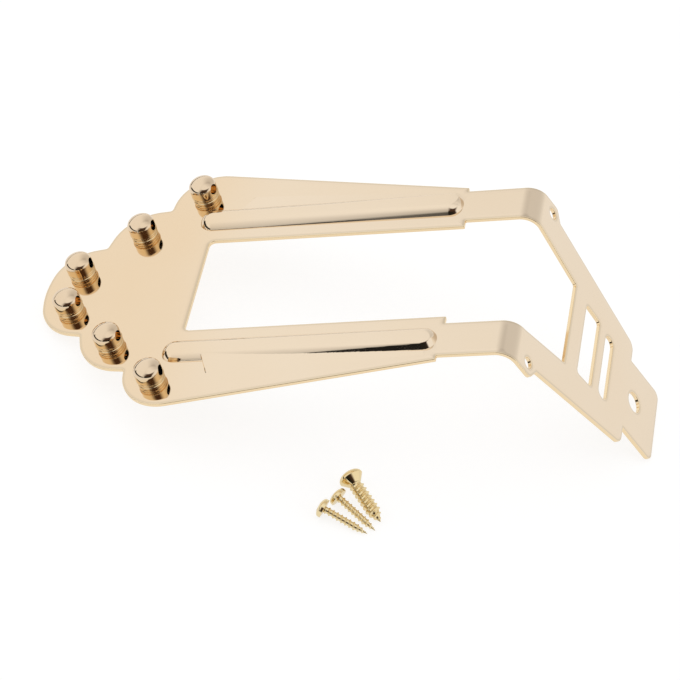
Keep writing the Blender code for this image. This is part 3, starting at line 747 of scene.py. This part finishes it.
post_gold = plating("gold_plate_on_turned_brass", "E8D4BA", "E6CEAE", "EACFA2", 0.12, 0.03, 0.07, 0.00002)
post_forms = drilled(POST_PROFILE, POST_STEPS)
post_painted_light = [np.clip((DOME_HIGHLIGHT_FROM - form[0][..., 2]) / DOME_HIGHLIGHT_RUN, 0.0, 1.0) for form in post_forms]
for number, (x, y) in enumerate(post_places(), start=1):
    turn = Matrix.Rotation(math.radians(STRING_HOLE_TURNS[number - 1]), 4, "Z")
    stand = REST @ Matrix.Translation((x, y, 0.0)) @ turn
    post = piece_of("drilled_post_%d" % number, placed(post_forms, stand), post_gold, post_painted_light)
    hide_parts("string_post_%d" % number)
    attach(post, "tailpiece")

# The three loose wood screws are cold headed steel with rolled right-hand threads, plated like
# the posts. The large one has an oval countersunk head and the others have pan heads.
LARGE_SCREW = dict(head=2.5, dome=1.3, rim=0.15, cone=1.6, length=11.1, core=1.18, thread=0.32, turns=8)
SMALL_SCREW = dict(head=1.95, dome=0.85, rim=0.5, cone=0.2, length=10.2, core=0.6, thread=0.24, turns=9)
HEADINGS = {"large": math.radians(132.8), "middle": math.radians(149.2), "small": math.radians(164.1)}
POINT_LENGTH = 2.6
THREAD_START = 0.8
THREAD_RUN_IN = 0.7
CREST_SHARE = 0.62
ROWS_PER_TURN = 22
SCREW_STEPS = 72
RECESS_SHARE = 0.62
RECESS_WIDTH = 0.55
RECESS_DEPTH = 0.8
RECESS_WALL = 0.07
DOME_STEPS = 40


def shank_grid(size):
    """The shank from its point up to the head: r = core(s) + depth(s) crest(turns(s) - t / 2 pi).

    The crest is a narrow rounded tooth, and its height runs in from nothing at both ends.
    """
    neck = size["length"] - size["rim"] - size["cone"]
    end = neck - 2 * size["thread"]
    pitch = (end - THREAD_START) / size["turns"]
    rows = int(neck / pitch * ROWS_PER_TURN)
    s = np.linspace(0.0, neck, rows)[:, None]
    turn = np.linspace(0.0, 2 * math.pi, SCREW_STEPS, endpoint=False)[None, :]
    slim = np.minimum(1.0, s / POINT_LENGTH)
    phase = (s / pitch - turn / (2 * math.pi)) % 1.0
    tooth = 0.5 + 0.5 * np.cos(math.pi * np.clip(np.abs(2 * phase - 1) / CREST_SHARE, 0.0, 1.0))
    run_in = np.clip((s - THREAD_START + pitch) / (THREAD_RUN_IN * pitch), 0.0, 1.0)
    run_out = np.clip((end + pitch - s) / (THREAD_RUN_IN * pitch), 0.0, 1.0)
    radius = size["core"] * slim**0.85 + size["thread"] * np.minimum(1.0, 1.6 * slim) * tooth * run_in * run_out
    return np.stack([radius * np.cos(turn), radius * np.sin(turn), np.broadcast_to(s, radius.shape)], axis=-1)


def grid_normals(places):
    """Unit normals of a closed grid: the cross product of its differences along and up."""
    along = np.roll(places, -1, axis=1) - np.roll(places, 1, axis=1)
    facing = np.cross(along, np.gradient(places, axis=0))
    return facing / np.maximum(np.linalg.norm(facing, axis=-1, keepdims=True), 1e-12)


def head_top(size):
    """The height of a domed head, sqrt-shaped like a half ellipse, with a crossed recess in it."""
    def height(x, y):
        share = np.clip(1 - (x**2 + y**2) / size["head"] ** 2, 0.0, 1.0)
        dome = size["length"] + size["dome"] * np.sqrt(share)
        reach = RECESS_SHARE * size["head"]
        arms = [np.maximum(np.abs(a) - reach, np.abs(b) - RECESS_WIDTH / 2) for a, b in ((x, y), (y, x))]
        depth = np.clip(-np.minimum(*arms) / RECESS_WALL, 0.0, 1.0) * RECESS_DEPTH
        return dome - depth
    return height


def recess_lines(size):
    """The cross recess at its mouth and at the foot of its walls, as closed guide lines."""
    lines = []
    for inset in (0.0, RECESS_WALL):
        far, near = RECESS_SHARE * size["head"] - inset, RECESS_WIDTH / 2 - inset
        quarter = np.array([(far, -near), (far, near), (near, near)])
        turns = [np.linalg.matrix_power(np.array([[0, -1], [1, 0]]), k) for k in range(4)]
        lines.append((np.concatenate([quarter @ turn.T for turn in turns]), True))
    return lines


def make_screw(name, size, heading, look):
    """A screw laid on the table: head rim and thread both touch it, and the model's box places it."""
    radius, length = size["head"], size["length"]
    neck = length - size["rim"] - size["cone"]
    shank = shank_grid(size)
    turn = np.linspace(0.0, 2 * math.pi, SCREW_STEPS, endpoint=False)
    ring = radius * np.stack([np.cos(turn), np.sin(turn)], axis=1)
    shares = np.sin(np.linspace(0.0, math.pi / 2, 14)[1:])
    rings = [(ring * share, True) for share in shares[:-1]]
    circle = (ring, ring / radius)
    top = face_of_head(circle, rings + recess_lines(size), head_top(size))
    skirt_profile = ((size["core"], neck, 0), (radius, length - size["rim"], 0.06), (radius, length, 0))
    skirt = turned(skirt_profile, SCREW_STEPS)
    surfaces = [grid_of(shank, grid_normals(shank)), skirt, top]
    crest = size["core"] + size["thread"]
    lean = math.atan2(radius - crest, length - POINT_LENGTH)
    level = math.cos(lean)
    way = Vector((math.cos(heading) * level, math.sin(heading) * level, math.sin(lean)))
    surfaces = placed(surfaces, way.to_track_quat("Z", "X").to_matrix().to_4x4())
    corners = np.concatenate([places for places, _ in surfaces]).reshape(-1, 3)
    low, high = corners.min(axis=0), corners.max(axis=0)
    box_low, box_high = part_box("screw_" + name)
    shift = Vector((np.array(box_low) + np.array(box_high)) / 2 / MM - (low + high) / 2)
    shift.z = box_low.z / MM - low[2]
    return piece_of("wood_screw_" + name, placed(surfaces, Matrix.Translation(shift)), look)


def face_of_head(circle, lines, height):
    """A head's top over its outer circle, as the plate's faces are made but with no edge round."""
    places, normals = circle
    return face_of([(places + EDGE_ROUND * normals, normals)], lines, np.zeros((1, 2)), height, True)


screw_gold = plating("gold_plate_on_rolled_steel", "F0E0B8", "E8CF98", "D9AE5C", 0.3, 0.04, 0.09, 0.00004)
for name, size in (("large", LARGE_SCREW), ("middle", SMALL_SCREW), ("small", SMALL_SCREW)):
    screw = make_screw(name, size, HEADINGS[name], screw_gold)
    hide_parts("screw_" + name)
    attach(screw, name + "_screw")

# The table is a plain white sheet that ends a little in front and at the left, with dark floor
# beyond. The camera sees both as plain white, and the white keeps the soft shadow of the metal.
SWEEP_END = 3.0
SWEEP_FRONT = -0.26
SWEEP_LEFT = -0.16
SWEEP_SHADE = 0.3
SWEEP_GLOW = 0.8
METAL_GLOW = 0.72


def sweep_look(name, shade, glow, gloss_glow):
    """A matt floor that glows plain white to the camera, and by gloss_glow in the metal."""
    made = bpy.data.materials.new(name)
    made.use_nodes = True
    tree = made.node_tree
    shader = tree.nodes["Principled BSDF"]
    shader.inputs["Base Color"].default_value = (shade, shade, shade, 1.0)
    shader.inputs["Roughness"].default_value = 0.9
    shader.inputs["Specular IOR Level"].default_value = 0.0
    path = node(tree, "ShaderNodeLightPath")
    in_metal = node(tree, "ShaderNodeMath",
                    {0: path.outputs["Is Glossy Ray"], 1: path.outputs["Is Transmission Ray"]}, operation="MAXIMUM")
    glossy = node(tree, "ShaderNodeMath", {0: in_metal.outputs[0], 1: gloss_glow}, operation="MULTIPLY")
    strength = node(tree, "ShaderNodeMath",
                    {0: path.outputs["Is Camera Ray"], 1: glow, 2: glossy.outputs[0]}, operation="MULTIPLY_ADD")
    shader.inputs["Emission Color"].default_value = (1.0, 1.0, 1.0, 1.0)
    tree.links.new(strength.outputs[0], shader.inputs["Emission Strength"])
    return made


def floor_sheet(name, x_from, x_to, y_from, y_to, look):
    """A flat sheet of the floor from one x and y to another, in metres."""
    mesh = bpy.data.meshes.new(name)
    mesh.from_pydata([(x_from, y_from, 0), (x_to, y_from, 0), (x_to, y_to, 0), (x_from, y_to, 0)], [], [(0, 1, 2, 3)])
    mesh.materials.append(look)
    sheet = bpy.data.objects.new(name, mesh)
    bpy.context.scene.collection.objects.link(sheet)


white_paper = sweep_look("white_paper_sweep", SWEEP_SHADE, SWEEP_GLOW, METAL_GLOW)
dark_floor = sweep_look("dark_floor", 0.02, 1.0, 0.0)
floor_sheet("table", SWEEP_LEFT, SWEEP_END, SWEEP_FRONT, SWEEP_END, white_paper)
floor_sheet("floor_in_front", -SWEEP_END, SWEEP_END, -SWEEP_END, SWEEP_FRONT, dark_floor)
floor_sheet("floor_at_left", -SWEEP_END, SWEEP_LEFT, SWEEP_FRONT, SWEEP_END, dark_floor)

# The room is a white light tent. Its front is open and dark where the camera looks in, with softer
# edges higher up, and it is dimmer behind on the right, as the posts, ridges and bends show.
DARK_LOW = (0.02, 0.018, 0.015)
DARK_HIGH = (0.075, 0.042, 0.028)
DARK_RISE = (0.2, 0.5)
OPEN_MIDDLE = (-80.0, 20.0)
OPEN_LEFT = ((-109.0, 2.0), (-121.0, 40.0))
OPEN_RIGHT = ((-50.0, 12.0), (-37.0, 43.0))
OPEN_SOFT = ((0.25, 0.65), (0.08, 0.26))
OPEN_TOP = (math.sin(math.radians(58.0)), 0.06)
PENUMBRA = (0.42, 0.3)
LEFT_HORIZON = (0.26, 0.14)
LEFT_WAY = ((-158.0, 0.0), math.radians(44.0), math.radians(38.0))
BACK = (68.0, 40.0, 0.3)
BACK_REACH = (math.radians(52.0), math.radians(10.0))

world = bpy.data.worlds.new("light_tent")
bpy.context.scene.world = world
world.use_nodes = True
tree = world.node_tree
way = node(tree, "ShaderNodeTexCoord").outputs["Generated"]
way_parts = node(tree, "ShaderNodeSeparateXYZ", {0: way})


def sky_place(azimuth, elevation):
    """The unit vector to a place of the sky, given in degrees from +x and from the floor."""
    az, el = math.radians(azimuth), math.radians(elevation)
    return Vector((math.cos(el) * math.cos(az), math.cos(el) * math.sin(az), math.sin(el)))


def soft_step(value, start, end, low=0.0, high=1.0):
    """A smooth step of the value from low at its start to high at its end."""
    return node(tree, "ShaderNodeMapRange",
                {"Value": value, "From Min": start, "From Max": end, "To Min": low, "To Max": high},
                interpolation_type="SMOOTHSTEP").outputs[0]


def along(place):
    """How far the way looks towards a place of the sky, as a cosine."""
    return node(tree, "ShaderNodeVectorMath", {0: way, 1: place}, operation="DOT_PRODUCT").outputs["Value"]


def inward(first, second):
    """The sine of the angle from the great circle through two places, towards the opening."""
    normal = sky_place(*first).cross(sky_place(*second)).normalized()
    return along(normal if normal.dot(sky_place(*OPEN_MIDDLE)) > 0 else -normal)


def product(*values):
    """The product of some sockets or numbers."""
    result = values[0]
    for value in values[1:]:
        result = node(tree, "ShaderNodeMath", {0: result, 1: value}, operation="MULTIPLY").outputs[0]
    return result


left_side = inward(*OPEN_LEFT)
soft = soft_step(way_parts.outputs["Z"], *OPEN_SOFT[0], *OPEN_SOFT[1])
in_left = soft_step(left_side, product(soft, -1.0), soft)
in_right = soft_step(inward(*OPEN_RIGHT), product(soft, -1.0), soft)
in_top = soft_step(way_parts.outputs["Z"], OPEN_TOP[0] + OPEN_TOP[1], OPEN_TOP[0] - OPEN_TOP[1])
opening = product(in_left, in_right, in_top)
near_left = soft_step(left_side, -PENUMBRA[0], 0.0, 0.0, PENUMBRA[1])
beside = product(near_left, in_right, in_top)
back = soft_step(along(sky_place(*BACK[:2])), math.cos(BACK_REACH[0]), math.cos(BACK_REACH[1]), 0.0, BACK[2])
leftward = soft_step(along(sky_place(*LEFT_WAY[0])), math.cos(LEFT_WAY[1]), math.cos(LEFT_WAY[2]))
low_left = product(leftward, soft_step(way_parts.outputs["Z"], LEFT_HORIZON[0], LEFT_HORIZON[1]))
light = 1.0
for shade in (opening, beside, low_left, back):
    left_over = node(tree, "ShaderNodeMath", {0: 1.0, 1: shade}, operation="SUBTRACT").outputs[0]
    light = product(left_over, light)
path = node(tree, "ShaderNodeLightPath")
shown = node(tree, "ShaderNodeMath", {0: light, 1: path.outputs["Is Camera Ray"]}, operation="MAXIMUM")
rise = soft_step(way_parts.outputs["Z"], *DARK_RISE)
dark = node(tree, "ShaderNodeMix", {0: rise, 6: (*DARK_LOW, 1.0), 7: (*DARK_HIGH, 1.0)}, data_type="RGBA")
seen = node(tree, "ShaderNodeMix",
            {0: shown.outputs[0], 6: dark.outputs[2], 7: (1.0, 1.0, 1.0, 1.0)}, data_type="RGBA")
background = tree.nodes["Background"]
tree.links.new(seen.outputs[2], background.inputs["Color"])

# The camera stands where the fitted photograph was taken from, over half a metre away.
CAMERA_FROM_PLATE = (70.368, -344.886, 392.15)
CAMERA_RIGHT = (0.97658063, 0.17136604, 0.13009207)
CAMERA_DOWN = (0.21443125, -0.72578937, -0.6536429)
LENS_MM = 134.5

camera = bpy.data.objects.new("camera", bpy.data.cameras.new("camera"))
bpy.context.scene.collection.objects.link(camera)
right = Vector(CAMERA_RIGHT).normalized()
up = -Vector(CAMERA_DOWN).normalized()
turn = Matrix((right, up, right.cross(up))).transposed().to_4x4()
spot = Vector((plate_low.x, MIDDLE_Y, 0.0)) + Vector(CAMERA_FROM_PLATE) * MM
camera.matrix_world = Matrix.Translation(spot) @ turn
camera.data.lens = LENS_MM
camera.data.sensor_width = 36.0
camera.data.clip_end = 20.0
bpy.context.scene.camera = camera
bpy.context.scene.view_settings.view_transform = "Standard"
